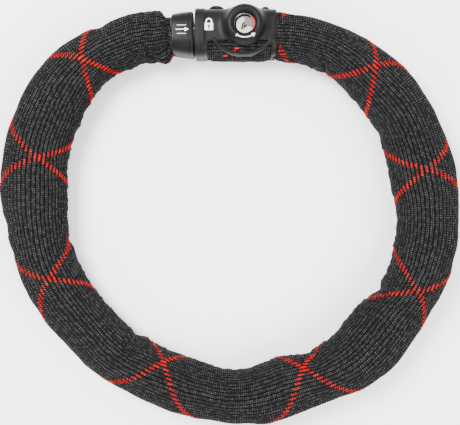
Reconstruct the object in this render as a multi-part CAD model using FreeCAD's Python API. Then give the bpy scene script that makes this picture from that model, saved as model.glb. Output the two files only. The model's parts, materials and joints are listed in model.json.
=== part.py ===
"""Keyed chain lock, closed in a ring and lying flat on a table.

Z is up, the table is z = 0 and the origin is under the middle of the ring.
The lock body lies along X on the +Y side. The chain leaves its right end, runs
clockwise round the ring, and comes back to its left end as the locking pin.
Lengths are in millimetres and angles in degrees.
"""

import FreeCAD
import Part

import math
import os

from FreeCAD import Vector

UP = Vector(0, 0, 1)
ALONG = Vector(1, 0, 0)

# ---- Chain ----
rod = 9.0  # side of the square link bar
rod_round = 2.0  # rounding along the bar's edges
crown_inner = 5.9  # inside radius of a link's round end
link_straight = 34.4  # between the centres of a link's two round ends
chain_z = 20.0  # height of the chain's middle line
link_count = 18  # the odd ones lie flat, the even ones stand on edge
crown_outer = crown_inner + rod
crown_bar = crown_inner + rod / 2
joint_play = 0.5  # how far a bar sits inside the next link's round end
flat_pitch = link_straight - 2 * joint_play
upright_pitch = link_straight + 2 * crown_bar

# ---- Ring that the chain lies in, seen from above: a circle with soft waves ----
ring_centre = Vector(0.0, 0.1, 0)
ring_waves = (  # each: waves per turn, height, angle of the crest
    (1, 6.3, 90.0),
    (2, 5.9, -34.0),
    (3, 3.0, 83.0),
    (4, 1.7, 190.0),
    (5, 1.2, -78.0),
)

ring_start = 82.0  # angle where the search for the first joint begins
ring_radius_range = (120.0, 150.0)

# ---- Textile sleeve ----
sleeve_outer = 20.0
sleeve_wall = 2.0
sleeve_gap = 1.2  # from each joint's mitre plane to the end of the span
sleeve_neck_outer = 17.4  # where the sleeve meets the lock and the collar
sleeve_neck_wall = 1.7
lock_side_gap = 1.6
collar_side_gap = 1.8
sleeve_spare = 12.0  # how far each tube runs past its ends before it is cut
cutting_block = 80.0

# ---- Lock housing, in its own frame: u along X, v along Y, from its middle ----
lock_middle = Vector(4.8, 129.9, 0)
housing_length = 59.4
housing_width = 35.6
housing_height = 36.0
housing_round = 9.0
housing_wall = 1.4
housing_split = 9.0  # height of the line between base and cover
boss_top = 42.0
boss_base_radius = 14.2
boss_top_radius = 12.6
boss_opening = 7.2
boss_seat_radius = 9.6
boss_rim_round = 1.6
skirt_low = 20.0
ring_pocket_radius = 8.6
red_ring_play = 0.1
end_round = 2.0
pin_opening_play = 0.6  # between the pin's bore and the hole in the housing's end
window_gap = 1.0  # solid left between the boss and the crescent window
side_window_depth = 4.0

# ---- Windows in the housing: a crescent and two corners, with a rib between ----
window_top = -6.5  # v of the crescent's upper edge
window_left = -21.0
window_right = 24.4
rib_centre = (4.2, 11.4)
rib_inner = 26.8
rib_outer = 29.4
rib_struts = (0.5, 9.0)  # u of the two short struts under the rib
strut_width = 2.2
window_floor = 12.0
rib_strut_top = -15.5
side_window_high = 28.0
side_windows = ((-20.5, -8.5), (17.5, 23.5))  # u ranges on the boss side

# ---- Fabric that wraps the core inside the housing ----
wrap_outer_side = 16.2
wrap_low = 2.4
wrap_high = 33.6
wrap_wall = 1.0
wrap_round = 7.2
wrap_start = -26.0
wrap_end = 26.5
wrap_seat_gap = 0.3
wrap_hole_gap = 0.5

# ---- Steel core ----
core_side = 15.1
core_low = 4.0
core_high = 32.0
core_left = -27.8
core_right = 22.0
core_round = 6.0
core_collar_radius = 9.3
slot_gap = 0.3

# ---- Anchor of the chain in the core ----
anchor_u = 27.7
anchor_radius = 5.0
ear_radius = 7.5
ear_high = 30.5
ear_low = 9.5
anchor_play = 0.02
anchor_chamfer = 0.5

# ---- Locking pin and its collar ----
pin_radius = 6.0
pin_bore = 6.1
pin_tip_u = -7.0
pin_groove_u = -11.0
pin_groove_width = 4.2
pin_groove_radius = 4.0
pin_eye_u = -42.0
eye_outer = 12.0
eye_play = 0.8
eye_length = 1.3  # straight part of the eye's hole
neck_overlap = 0.8
collar_left = -47.2
collar_right = -30.7
collar_half_left = 14.0
collar_half_right = 16.0
collar_half_height = 16.8
collar_wall = 1.7
collar_floor = -35.6  # right end of the collar's hollow
collar_round = 9.0
pin_tip_chamfer = 1.5
clamp_start = -46.6
clamp_length = 3.0
clamp_wall = 0.4
clamp_play = 0.1

# ---- Cylinder ----
key_u = 5.5
key_v = 5.1
barrel_radius = 7.0
barrel_low = 12.0
plug_radius = 5.8
plug_gap = 0.05
plug_face = 32.3
disc_chamber = 4.8
chamber_low = 14.4
chamber_high = 29.6
disc_count = 8
disc_thick = 1.3
spacer_thick = 0.4
spacer_inner = 4.0
keyway_length = 7.6
keyway_width = 2.6
keyway_centre_radius = 2.1
sidebar_side = 1.1
sidebar_angle = 150.0
sidebar_play = 0.02
gate_depth = 0.9
gate_half_width = 0.5
gate_offset = 35.0  # from the sidebar to the first false gate
gate_step = 12.0
gate_kinds = 4
disc_play = 0.15
keyway_angle = 60.0

# ---- Cam and latch ----
cam_radius = 8.4
cam_low = 10.2
cam_high = 11.8
tang_side = 3.4
tang_play = 0.02
latch_throw = 2.0
latch_turn = 90.0
follower_start = 4.3
follower_radius = 1.0
follower_gap = 0.1
latch_low = 7.0
latch_high = 9.3
nose_half = 1.8
nose_top = 25.5
latch_front = 6.3  # v of the nose's face when the latch is drawn back
latch_back = 9.4
latch_left = -12.8
foot_half = 2.5
foot_reach = 1.6  # past the peg's middle
latch_right = 8.0
cavity_gap = 0.3
plate_top = 6.7
plate_lap = 1.2
plate_play = 0.05
clip_low = 9.75
clip_high = 10.15
clip_radius = 3.2
slot_overrun = 17.0  # degrees of slot past each end of the turn
slot_steps = 24
peg_gap = 0.2

# ---- Keyway cover ----
cover_low = 32.7
cover_high = 33.6
cover_ring_inner = 6.0
cover_ring_outer = 6.9
cover_from = -15.0
cover_to = 95.0
spring_height = 33.1
spring_radius = 7.75
spring_wire = 0.6
spring_turn = 300.0
red_ring_low = 33.9
red_ring_high = 35.5
red_ring_inner = 7.7
red_lip_high = 34.7
red_lip_inner = 6.1
red_lip_half_angle = 48.0

# ---- Screws ----
screw_places = ((-22.0, -9.0), (-22.0, 9.0), (18.0, -9.5), (18.0, 9.5))
screw_radius = 1.45
screw_head = 2.75
screw_head_height = 1.7
screw_top = 10.5
plate_screw_places = ((-15.4, 4.5), (16.6, 1.0))
plate_screw_radius = 1.2
plate_screw_top = 9.0
screw_sunk = 0.3
screw_socket = 1.1
screw_socket_depth = 0.9
screw_hole_play = 0.15  # round a screw in the housing
screw_thread_play = 0.05  # round a screw in the core
screw_hole_spare = 0.5  # depth left under a screw's tip


# ---- Helpers ----
def cylinder(radius, low, high, u=0.0, v=0.0):
    return Part.makeCylinder(radius, high - low, Vector(u, v, low), UP)


def bar(radius, start, end, v=0.0, z=chain_z):
    """A round bar along X."""
    return Part.makeCylinder(radius, end - start, Vector(start, v, z), ALONG)


def box(low, high):
    size = Vector(*high) - Vector(*low)
    return Part.makeBox(size.x, size.y, size.z, Vector(*low))


def pie(radius, low, high, start, end):
    """A pie slice of a disc round the key's axis, between two angles."""
    piece = Part.makeCylinder(radius, high - low, Vector(0, 0, low), UP, end - start)
    piece.rotate(Vector(0, 0, 0), UP, start)
    piece.translate(Vector(key_u, key_v, 0))
    return piece


def rounded_bar(u_low, u_high, half_width, low, high, radius):
    """A bar along X whose section is a rectangle with round corners."""
    shape = box((u_low, -half_width, low), (u_high, half_width, high))
    edges = [edge for edge in shape.Edges if abs(edge.tangentAt(edge.FirstParameter).x) > 0.9]
    return shape.makeFillet(radius, edges)


def joined(shapes):
    result = shapes[0]
    for shape in shapes[1:]:
        result = result.fuse(shape)
    return result.removeSplitter()


def to_lock(shape):
    """Moves a shape from the lock's own frame into the ring's."""
    moved = shape.copy()
    moved.translate(lock_middle)
    return moved


def save(name, shape):
    for solid in shape.Solids:
        assert solid.isValid(), name
    solids = shape.Solids
    result = solids[0] if len(solids) == 1 else Part.makeCompound(solids)
    result.exportStep("parts/" + name + ".step")


# ---- The ring's shape ----
def ring_point(mean_radius, angle):
    radius = mean_radius
    for count, height, crest in ring_waves:
        radius += height * math.cos(math.radians(count * angle - crest))
    turn = math.radians(angle)
    return ring_centre + Vector(math.cos(turn), math.sin(turn), 0) * radius


def step_round(mean_radius, start, angle, distance):
    """Walks clockwise round the ring until it is the given straight distance from start."""
    near, far = angle, angle - 40.0
    for _ in range(50):
        middle = (near + far) / 2
        if (ring_point(mean_radius, middle) - start).Length < distance:
            near = middle
        else:
            far = middle
    return far


def pitch(index):
    return flat_pitch if index % 2 == 1 else upright_pitch


def chain_joints(mean_radius):
    """The joints from the anchor to the start of the last link."""
    points = [lock_middle + Vector(anchor_u, 0, 0)]
    angle = ring_start
    for index in range(1, link_count):
        angle = step_round(mean_radius, points[-1], angle, pitch(index))
        points.append(ring_point(mean_radius, angle))
    return points


def close_chain():
    """All joints, on a ring just large enough for the last link to reach the pin's eye."""
    eye = lock_middle + Vector(pin_eye_u, 0, 0)
    small, large = ring_radius_range
    for _ in range(50):
        mean_radius = (small + large) / 2
        if (eye - chain_joints(mean_radius)[-1]).Length > pitch(link_count):
            large = mean_radius
        else:
            small = mean_radius
    return chain_joints(mean_radius) + [eye]


def heading(start, end):
    return math.degrees(math.atan2(end.y - start.y, end.x - start.x))


# ---- Chain ----
def link_shape():
    """One link, flat, along X, centred on the origin."""
    half = link_straight / 2
    outer = slot_face(half, crown_outer)
    inner = slot_face(half, crown_inner)
    ring = outer.cut(inner).extrude(UP * rod)
    ring.translate(UP * (-rod / 2))
    long_edges = [edge for edge in ring.Edges if abs(edge.tangentAt(edge.FirstParameter).z) < 0.1]
    return ring.makeFillet(rod_round, long_edges)


def slot_face(half, radius):
    """The face between two parallel lines with a half circle at each end."""
    right_top = Vector(half, radius, 0)
    right_low = Vector(half, -radius, 0)
    left_top = Vector(-half, radius, 0)
    left_low = Vector(-half, -radius, 0)
    edges = [
        Part.makeLine(left_low, right_low),
        Part.Arc(right_low, Vector(half + radius, 0, 0), right_top).toShape(),
        Part.makeLine(right_top, left_top),
        Part.Arc(left_top, Vector(-half - radius, 0, 0), left_low).toShape(),
    ]
    return Part.Face(Part.Wire(edges))


def place_link(template, index, start, end):
    link = template.copy()
    if index % 2 == 0:
        link.rotate(Vector(0, 0, 0), ALONG, 90)
    link.rotate(Vector(0, 0, 0), UP, heading(start, end))
    link.translate((start + end) / 2 + UP * chain_z)
    return link


# ---- Sleeve ----
def half_space(point, direction):
    """A large block that fills the side of a point that the direction leads to."""
    side = cutting_block
    block = Part.makeBox(side, side, side, Vector(0, -side / 2, -side / 2))
    block.rotate(Vector(0, 0, 0), UP, math.degrees(math.atan2(direction.y, direction.x)))
    block.translate(Vector(point.x, point.y, chain_z))
    return block


def unit(angle):
    return Vector(math.cos(math.radians(angle)), math.sin(math.radians(angle)), 0)


def sleeve_span(points, index):
    """The sleeve round one link: a straight tube with mitred ends, narrower at the lock."""
    start, end = points[index - 1], points[index]
    course = heading(start, end)
    first, last = index == 1, index == link_count
    radii = (sleeve_neck_outer if first else sleeve_outer, sleeve_neck_outer if last else sleeve_outer)
    walls = (sleeve_neck_wall if first else sleeve_wall, sleeve_neck_wall if last else sleeve_wall)
    length = (end - start).Length + 2 * sleeve_spare
    base = start - unit(course) * sleeve_spare + UP * chain_z
    tube = cone_or_bar(radii[0], radii[1], base, unit(course), length)
    tube = tube.cut(cone_or_bar(radii[0] - walls[0], radii[1] - walls[1], base, unit(course), length))
    if first:
        near = half_space(lock_middle + ALONG * (housing_length / 2 + lock_side_gap), ALONG)
    else:
        mitre = unit((unwrap(heading(points[index - 2], start), course) + course) / 2)
        near = half_space(start + mitre * sleeve_gap, mitre)
    if last:
        far = half_space(lock_middle + ALONG * (collar_left - collar_side_gap), -ALONG)
    else:
        mitre = unit((unwrap(heading(end, points[index + 1]), course) + course) / 2)
        far = half_space(end - mitre * sleeve_gap, -mitre)
    return tube.common(near).common(far)


def cone_or_bar(start_radius, end_radius, base, direction, length):
    if start_radius == end_radius:
        return Part.makeCylinder(start_radius, length, base, direction)
    return Part.makeCone(start_radius, end_radius, length, base, direction)


def unwrap(angle, near):
    """The same angle, on the turn nearest to another one."""
    return angle - 360.0 * round((angle - near) / 360.0)


# ---- Housing ----
def housing_outside():
    half = housing_length / 2
    shape = rounded_bar(-half, half, housing_width / 2, 0, housing_height, housing_round)
    rims = [edge for edge in shape.Edges if abs(abs(edge.CenterOfMass.x) - half) < 0.01]
    return shape.makeFillet(end_round, rims)


def housing_shell():
    """The housing as one closed shell, with its boss and both end openings."""
    half = housing_length / 2
    inside_side = housing_width / 2 - housing_wall
    hollow = rounded_bar(
        -half + housing_wall,
        half + 1,
        inside_side,
        housing_wall,
        housing_height - housing_wall,
        housing_round - housing_wall,
    )
    shell = housing_outside().cut(hollow)
    shell = shell.cut(bar(pin_bore + pin_opening_play, -half - 1, 0))
    boss_low = housing_height - housing_wall - 0.2
    boss = Part.makeCone(
        boss_base_radius, boss_top_radius, boss_top - boss_low, Vector(key_u, key_v, boss_low), UP
    )
    rim = [edge for edge in boss.Edges if edge.CenterOfMass.z > boss_top - 0.1 and edge.Closed]
    boss = boss.makeFillet(boss_rim_round, rim)
    skirt = cylinder(boss_base_radius, skirt_low, boss_low, key_u, key_v).cut(hollow)
    seat = cylinder(boss_seat_radius, core_high, boss_low + 1, key_u, key_v)
    shell = shell.fuse(boss).fuse(skirt).fuse(seat)
    shell = shell.cut(cylinder(boss_opening, core_high - 1, boss_top + 1, key_u, key_v))
    return shell.cut(cylinder(ring_pocket_radius, core_high - 1, red_ring_high + red_ring_play, key_u, key_v))


def window_cutter():
    """Everything that is open on the chain's side of the cover, seen from above."""
    low, high = window_floor, housing_height + 1
    side = -housing_width / 2 - 1
    area = box((window_left, side, low), (window_right, window_top, high))
    rib = cylinder(rib_outer, low - 1, high + 1, *rib_centre)
    rib = rib.cut(cylinder(rib_inner, low - 2, high + 2, *rib_centre))
    area = area.cut(rib)
    for strut_u in rib_struts:
        strut = box((strut_u, side - 1, low - 1), (strut_u + strut_width, rib_strut_top, high))
        area = area.cut(strut)
    return area.cut(cylinder(boss_base_radius + window_gap, low - 1, high + 1, key_u, key_v))


def make_housing_cover():
    top = box((-40, -30, housing_split), (40, 30, boss_top + 1))
    cover = housing_shell().common(top).cut(window_cutter())
    for start, end in side_windows:
        opening = box(
            (start, housing_width / 2 - side_window_depth, window_floor),
            (end, housing_width / 2 + 1, side_window_high),
        )
        cover = cover.cut(opening)
    return cover


def make_housing_base():
    low = box((-40, -30, -1), (40, 30, housing_split))
    base = housing_shell().common(low)
    for u, v in screw_places:
        base = base.cut(cylinder(screw_radius + screw_hole_play, -1, housing_split, u, v))
        head_room = screw_head_height + screw_thread_play
        base = base.cut(cylinder(screw_head + screw_hole_play, -1, head_room, u, v))
    return base


def make_housing_screws():
    screws = []
    for u, v in screw_places:
        screw = cylinder(screw_head, screw_sunk, screw_head_height, u, v)
        screw = screw.fuse(cylinder(screw_radius, screw_head_height, screw_top, u, v))
        socket = cylinder(screw_socket, 0, screw_sunk + screw_socket_depth, u, v)
        screws.append(screw.cut(socket))
    return Part.makeCompound(screws)


def make_sleeve_lock_span():
    """The fabric that goes on round the core, with holes for the boss, pin and screws."""
    outer = rounded_bar(wrap_start, wrap_end, wrap_outer_side, wrap_low, wrap_high, wrap_round)
    inner = rounded_bar(
        wrap_start - 1,
        wrap_end + 1,
        wrap_outer_side - wrap_wall,
        wrap_low + wrap_wall,
        wrap_high - wrap_wall,
        wrap_round - wrap_wall,
    )
    wrap = outer.cut(inner)
    wrap = wrap.cut(cylinder(boss_seat_radius + wrap_seat_gap, chain_z, boss_top, key_u, key_v))
    for u, v in screw_places:
        wrap = wrap.cut(cylinder(screw_radius + wrap_hole_gap, 0, chain_z, u, v))
    return wrap


# ---- Core ----
def cavity_plan(low, high, spare):
    """The hollow under the cylinder that holds the cam and the latch."""
    cam_room = cylinder(cam_radius + cavity_gap + spare, low, high, key_u, key_v)
    left, right = latch_left - cavity_gap - spare, latch_right + cavity_gap + spare
    front = latch_front - latch_throw - cavity_gap - spare
    back = latch_back + cavity_gap + spare
    return cam_room.fuse(box((left, front, low), (right, back, high)))


def core_outside():
    block = rounded_bar(core_left, core_right, core_side, core_low, core_high, core_round)
    collar = cylinder(core_collar_radius, chain_z, core_high, key_u, key_v)
    ears = box((core_right - 1, -ear_radius, ear_low), (anchor_u, ear_radius, ear_high))
    ears = ears.fuse(cylinder(ear_radius, ear_low, ear_high, anchor_u))
    return joined([block, collar, ears])


def make_lock_core():
    core = core_outside()
    core = core.cut(bar(pin_bore, core_left - 1, pin_tip_u + 0.5))
    half_slot = rod / 2 + slot_gap
    slot_room = crown_outer + joint_play + slot_gap
    slot_low, slot_high = chain_z - half_slot, chain_z + half_slot
    core = core.cut(cylinder(slot_room, slot_low, slot_high, anchor_u))
    core = core.cut(box((anchor_u, -slot_room, slot_low), (anchor_u + 20, slot_room, slot_high)))
    core = core.cut(cylinder(anchor_radius, ear_low - 1, ear_high + 1, anchor_u))
    core = core.cut(cylinder(barrel_radius, barrel_low, core_high + 1, key_u, key_v))
    core = core.cut(cylinder(cam_radius + cavity_gap, plate_top, barrel_low, key_u, key_v))
    core = core.cut(cavity_plan(plate_top, cam_low - peg_gap, 0))
    core = core.cut(cavity_plan(core_low - 1, plate_top, plate_lap))
    nose_room = box(
        (pin_groove_u - nose_half - cavity_gap, latch_front - latch_throw - cavity_gap, plate_top),
        (pin_groove_u + nose_half + cavity_gap, latch_back + cavity_gap, nose_top + cavity_gap),
    )
    core = core.cut(nose_room)
    for u, v in screw_places:
        core = core.cut(cylinder(screw_radius + screw_thread_play, 0, screw_top + screw_hole_spare, u, v))
    for u, v in plate_screw_places:
        hole_top = plate_screw_top + screw_hole_spare
        core = core.cut(cylinder(plate_screw_radius + screw_thread_play, 0, hole_top, u, v))
    return core


def make_core_base_plate():
    plate = cavity_plan(core_low, plate_top, plate_lap - plate_play).common(core_outside())
    for u, v in plate_screw_places:
        plate = plate.cut(cylinder(plate_screw_radius + screw_thread_play, core_low - 1, plate_top + 1, u, v))
    return plate


def make_anchor_pin():
    pin = cylinder(anchor_radius - anchor_play, ear_low, ear_high, anchor_u)
    rims = [edge for edge in pin.Edges if edge.Closed]
    return pin.makeChamfer(anchor_chamfer, rims)


# ---- Locking pin ----
def make_locking_pin():
    """The round bolt, its latch groove, and the eye that the last link hangs in."""
    pin = bar(pin_radius, collar_floor - neck_overlap, pin_tip_u)
    tip = [edge for edge in pin.Edges if edge.Closed and edge.CenterOfMass.x > pin_tip_u - 0.1]
    pin = pin.makeChamfer(pin_tip_chamfer, tip)
    half = pin_groove_width / 2
    groove = bar(pin_radius + 1, pin_groove_u - half, pin_groove_u + half)
    groove = groove.cut(bar(pin_groove_radius, pin_groove_u - half - 1, pin_groove_u + half + 1))
    pin = pin.cut(groove)
    hole_u = pin_eye_u - eye_play
    low, high = chain_z - rod / 2, chain_z + rod / 2
    eye = cylinder(eye_outer, low, high, hole_u)
    hole = joined(
        [
            cylinder(crown_inner, low - 5, high + 5, hole_u),
            cylinder(crown_inner, low - 5, high + 5, hole_u + eye_length),
            box((hole_u, -crown_inner, low - 5), (hole_u + eye_length, crown_inner, high + 5)),
        ]
    )
    eye = eye.cut(hole)
    eye = eye.makeFillet(rod_round, [edge for edge in eye.Edges if is_level(edge)])
    eye = eye.common(box((hole_u - 20, -20, 0), (collar_floor, 20, 40)))
    pin = pin.cut(hole)
    return joined([pin, eye])


def is_level(edge):
    return abs(edge.BoundBox.ZLength) < 0.01


def collar_loft(grow, left, right):
    """The collar's tapered body, made larger or smaller all round by a distance."""
    sections = []
    for u, half in ((left, collar_half_left), (right, collar_half_right)):
        sections.append(rounded_section(u, half + grow, collar_half_height + grow, collar_round + grow))
    return Part.makeLoft(sections, True, True)


def rounded_section(u, half_width, half_height, radius):
    """A closed wire across X: a rectangle with round corners."""
    side, top = half_width - radius, half_height - radius
    corners = ((side, top), (-side, top), (-side, -top), (side, -top))
    edges = []
    for turn, (v, z) in enumerate(corners):
        start = math.radians(90 * turn)
        arc = []
        for share in (0, 0.5, 1):
            angle = start + share * math.pi / 2
            arc.append(Vector(u, v + radius * math.cos(angle), chain_z + z + radius * math.sin(angle)))
        edges.append(Part.Arc(*arc).toShape())
    wire = []
    for turn, edge in enumerate(edges):
        wire.append(edge)
        following = edges[(turn + 1) % 4]
        wire.append(Part.makeLine(edge.Vertexes[-1].Point, following.Vertexes[0].Point))
    return Part.Wire(wire)


def make_bolt_collar():
    collar = collar_loft(0, collar_left, collar_right)
    hollow = collar_loft(-collar_wall, collar_left, collar_right)
    hollow = hollow.common(box((collar_left - 1, -30, -10), (collar_floor, 30, 60)))
    collar = collar.cut(hollow)
    return collar.cut(bar(pin_radius, collar_left, collar_right + 1))


def make_sleeve_clamp():
    """The band that holds the sleeve's end inside the collar's mouth."""
    high = clamp_start + clamp_length
    outer = collar_loft(-collar_wall - clamp_play, collar_left, collar_right)
    inner = collar_loft(-collar_wall - clamp_play - clamp_wall, collar_left, collar_right)
    zone = box((clamp_start, -30, -10), (high, 30, 60))
    return outer.cut(inner).common(zone)


# ---- Cylinder ----
def make_cylinder_barrel():
    barrel = cylinder(barrel_radius, barrel_low, core_high, key_u, key_v)
    return barrel.cut(cylinder(plug_radius + plug_gap, barrel_low - 1, core_high + 1, key_u, key_v))


def keyway(low, high):
    slot = box((-keyway_length / 2, -keyway_width / 2, low), (keyway_length / 2, keyway_width / 2, high))
    slot = slot.fuse(cylinder(keyway_centre_radius, low, high))
    slot.rotate(Vector(0, 0, 0), UP, keyway_angle)
    slot.translate(Vector(key_u, key_v, 0))
    return slot


def make_key_plug():
    plug = cylinder(plug_radius, barrel_low, plug_face, key_u, key_v)
    plug = plug.cut(cylinder(disc_chamber, chamber_low, chamber_high, key_u, key_v))
    plug = plug.cut(keyway(chamber_high - 1, plug_face + 1))
    half = tang_side / 2
    tang = box((key_u - half, key_v - half, clip_low), (key_u + half, key_v + half, barrel_low))
    plug = plug.fuse(tang)
    return plug.cut(sidebar_block(sidebar_play))


def sidebar_block(spare):
    half = sidebar_side / 2 + spare
    reach = plug_radius - 0.1
    block = box(
        (disc_chamber - 0.1, -half, chamber_low + 1 - spare), (reach, half, chamber_high - 1 + spare)
    )
    block.rotate(Vector(0, 0, 0), UP, sidebar_angle)
    block.translate(Vector(key_u, key_v, 0))
    return block


def make_tumbler_discs():
    """Discs on one axis, each with a false gate at its own angle."""
    discs = []
    step = (chamber_high - chamber_low) / disc_count
    for number in range(disc_count):
        low = chamber_low + step * number + (step - disc_thick) / 2
        disc = cylinder(disc_chamber - disc_play, low, low + disc_thick, key_u, key_v)
        disc = disc.cut(keyway(low - 1, low + disc_thick + 1))
        false_gate = box(
            (disc_chamber - gate_depth, -gate_half_width, low - 1),
            (disc_chamber + 1, gate_half_width, low + disc_thick + 1),
        )
        turn = sidebar_angle + gate_offset + gate_step * (number % gate_kinds)
        false_gate.rotate(Vector(0, 0, 0), UP, turn)
        false_gate.translate(Vector(key_u, key_v, 0))
        discs.append(disc.cut(false_gate))
    return Part.makeCompound(discs)


def make_disc_spacers():
    """A thin ring between each two discs."""
    spacers = []
    step = (chamber_high - chamber_low) / disc_count
    for number in range(1, disc_count):
        middle = chamber_low + step * number
        low, high = middle - spacer_thick / 2, middle + spacer_thick / 2
        ring = cylinder(disc_chamber - disc_play, low, high, key_u, key_v)
        spacers.append(ring.cut(cylinder(spacer_inner, low - 1, high + 1, key_u, key_v)))
    return Part.makeCompound(spacers)


def make_locking_cam():
    """A disc with a spiral slot, so that the latch moves in step with the key."""
    cam = cylinder(cam_radius, cam_low, cam_high)
    rise = latch_throw / math.radians(latch_turn)
    inner, outer = [], []
    half = follower_radius + follower_gap
    sweep = latch_turn + 2 * slot_overrun
    for step in range(slot_steps + 1):
        turn = math.radians(-slot_overrun + sweep * step / slot_steps)
        angle = math.radians(-90) - turn
        radius = follower_start + rise * turn
        inner.append(Vector(math.cos(angle), math.sin(angle), 0) * (radius - half))
        outer.append(Vector(math.cos(angle), math.sin(angle), 0) * (radius + half))
    inner_curve = Part.BSplineCurve()
    inner_curve.interpolate(inner)
    outer_curve = Part.BSplineCurve()
    outer_curve.interpolate(outer)
    edges = [
        inner_curve.toShape(),
        Part.makeLine(inner[-1], outer[-1]),
        outer_curve.toShape(),
        Part.makeLine(outer[0], inner[0]),
    ]
    slot = Part.Face(Part.Wire(Part.__sortEdges__(edges))).extrude(UP * 4)
    slot.translate(UP * (cam_low - 1))
    half_tang = tang_side / 2 + tang_play
    hole = box((-half_tang, -half_tang, cam_low - 1), (half_tang, half_tang, cam_high + 1))
    cam = cam.cut(slot).cut(hole)
    cam.translate(Vector(key_u, key_v, 0))
    return cam


def make_cam_clip():
    clip = cylinder(clip_radius, clip_low, clip_high, key_u, key_v)
    half = tang_side / 2 + tang_play
    return clip.cut(box((key_u - half, key_v - half, 0), (key_u + half, key_v + half, 20)))


def make_latch_bolt():
    """A flat slide with an upright nose for the pin's groove and a peg for the cam."""
    slide = box((latch_left, latch_front, latch_low), (latch_right, latch_back, latch_high))
    nose = box(
        (pin_groove_u - nose_half, latch_front, latch_low), (pin_groove_u + nose_half, latch_back, nose_top)
    )
    peg = cylinder(follower_radius, latch_high, cam_high - peg_gap, key_u, key_v - follower_start)
    foot_low = key_v - follower_start - foot_reach
    foot = box(
        (key_u - foot_half, foot_low, latch_low), (key_u + foot_half, latch_front + 1, latch_high)
    )
    return joined([slide, nose, peg, foot])


# ---- Keyway cover ----
def make_keyway_cover():
    """A thin ring with a pie-shaped blade that hides part of the keyway."""
    ring = cylinder(cover_ring_outer, cover_low, cover_high, key_u, key_v)
    ring = ring.cut(cylinder(cover_ring_inner, cover_low - 1, cover_high + 1, key_u, key_v))
    blade = pie(cover_ring_inner + 0.3, cover_low, cover_high, cover_from, cover_to)
    return joined([ring, blade])


def make_keyhole_ring():
    """The coloured ring under the boss, with a lip that shows on one side."""
    ring = cylinder(ring_pocket_radius - red_ring_play, red_ring_low, red_ring_high, key_u, key_v)
    ring = ring.cut(cylinder(red_ring_inner, red_ring_low - 1, red_ring_high + 1, key_u, key_v))
    lip = pie(red_ring_inner + 0.2, red_ring_low, red_lip_high, -red_lip_half_angle, red_lip_half_angle)
    lip = lip.cut(cylinder(red_lip_inner, red_ring_low - 1, red_lip_high + 1, key_u, key_v))
    return joined([ring, lip])


def make_cover_spring():
    """An open ring of wire that pushes the keyway cover shut."""
    centre = Vector(key_u, key_v, spring_height)
    return Part.makeTorus(spring_radius, spring_wire / 2, centre, UP, 0, 360, spring_turn)


def make_plate_screws():
    screws = []
    for u, v in plate_screw_places:
        screws.append(cylinder(plate_screw_radius, core_low, plate_screw_top, u, v))
    return Part.makeCompound(screws)


# ---- Write every piece ----
def main():
    os.makedirs("parts", exist_ok=True)
    lock_pieces = {
        "housing_cover": make_housing_cover(),
        "housing_base": make_housing_base(),
        "housing_screws": make_housing_screws(),
        "sleeve_lock_span": make_sleeve_lock_span(),
        "lock_core": make_lock_core(),
        "core_base_plate": make_core_base_plate(),
        "plate_screws": make_plate_screws(),
        "anchor_pin": make_anchor_pin(),
        "cylinder_barrel": make_cylinder_barrel(),
        "keyhole_ring": make_keyhole_ring(),
        "key_plug": make_key_plug(),
        "tumbler_discs": make_tumbler_discs(),
        "disc_spacers": make_disc_spacers(),
        "sidebar": sidebar_block(0),
        "locking_cam": make_locking_cam(),
        "cam_clip": make_cam_clip(),
        "latch_bolt": make_latch_bolt(),
        "keyway_cover": make_keyway_cover(),
        "cover_spring": make_cover_spring(),
        "locking_pin": make_locking_pin(),
        "bolt_collar": make_bolt_collar(),
        "sleeve_clamp": make_sleeve_clamp(),
    }
    for name, shape in lock_pieces.items():
        save(name, to_lock(shape))

    points = close_chain()
    template = link_shape()
    for index in range(1, link_count + 1):
        number = "%02d" % index
        save("link_" + number, place_link(template, index, points[index - 1], points[index]))
        save("sleeve_" + number, sleeve_span(points, index))


main()
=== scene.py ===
"""Looks for the ring-shaped keyed chain lock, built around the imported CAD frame.

Lengths in the tables are millimetres unless a name says otherwise. The ring is
seen from above: the lock body is on the +Y side and the sleeve runs clockwise
from the lock's right end round to the locking pin's collar.
"""

import json
import math

import bpy
import numpy as np
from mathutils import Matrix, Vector

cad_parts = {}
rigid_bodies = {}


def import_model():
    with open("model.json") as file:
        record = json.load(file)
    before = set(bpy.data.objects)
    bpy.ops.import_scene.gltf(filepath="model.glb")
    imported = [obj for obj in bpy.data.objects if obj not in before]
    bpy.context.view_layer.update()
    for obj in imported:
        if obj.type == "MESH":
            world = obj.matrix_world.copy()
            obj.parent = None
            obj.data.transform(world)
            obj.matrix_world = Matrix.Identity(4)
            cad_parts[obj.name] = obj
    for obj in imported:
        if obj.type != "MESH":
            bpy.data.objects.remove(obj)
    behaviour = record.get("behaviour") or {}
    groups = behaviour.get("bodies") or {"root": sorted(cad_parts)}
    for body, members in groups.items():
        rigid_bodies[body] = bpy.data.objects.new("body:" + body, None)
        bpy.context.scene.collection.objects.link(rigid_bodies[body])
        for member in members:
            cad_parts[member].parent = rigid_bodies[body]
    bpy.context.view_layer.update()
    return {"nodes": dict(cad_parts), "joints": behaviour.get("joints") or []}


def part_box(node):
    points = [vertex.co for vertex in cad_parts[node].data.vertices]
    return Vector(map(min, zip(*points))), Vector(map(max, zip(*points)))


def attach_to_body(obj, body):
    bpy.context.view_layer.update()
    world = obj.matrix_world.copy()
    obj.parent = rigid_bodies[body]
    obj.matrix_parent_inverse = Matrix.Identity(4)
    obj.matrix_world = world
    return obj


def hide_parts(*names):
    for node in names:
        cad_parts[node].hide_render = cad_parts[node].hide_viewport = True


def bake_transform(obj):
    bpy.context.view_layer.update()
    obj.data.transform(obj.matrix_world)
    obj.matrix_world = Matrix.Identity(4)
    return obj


MM = 0.001
TAU = 2 * math.pi

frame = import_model()

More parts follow.
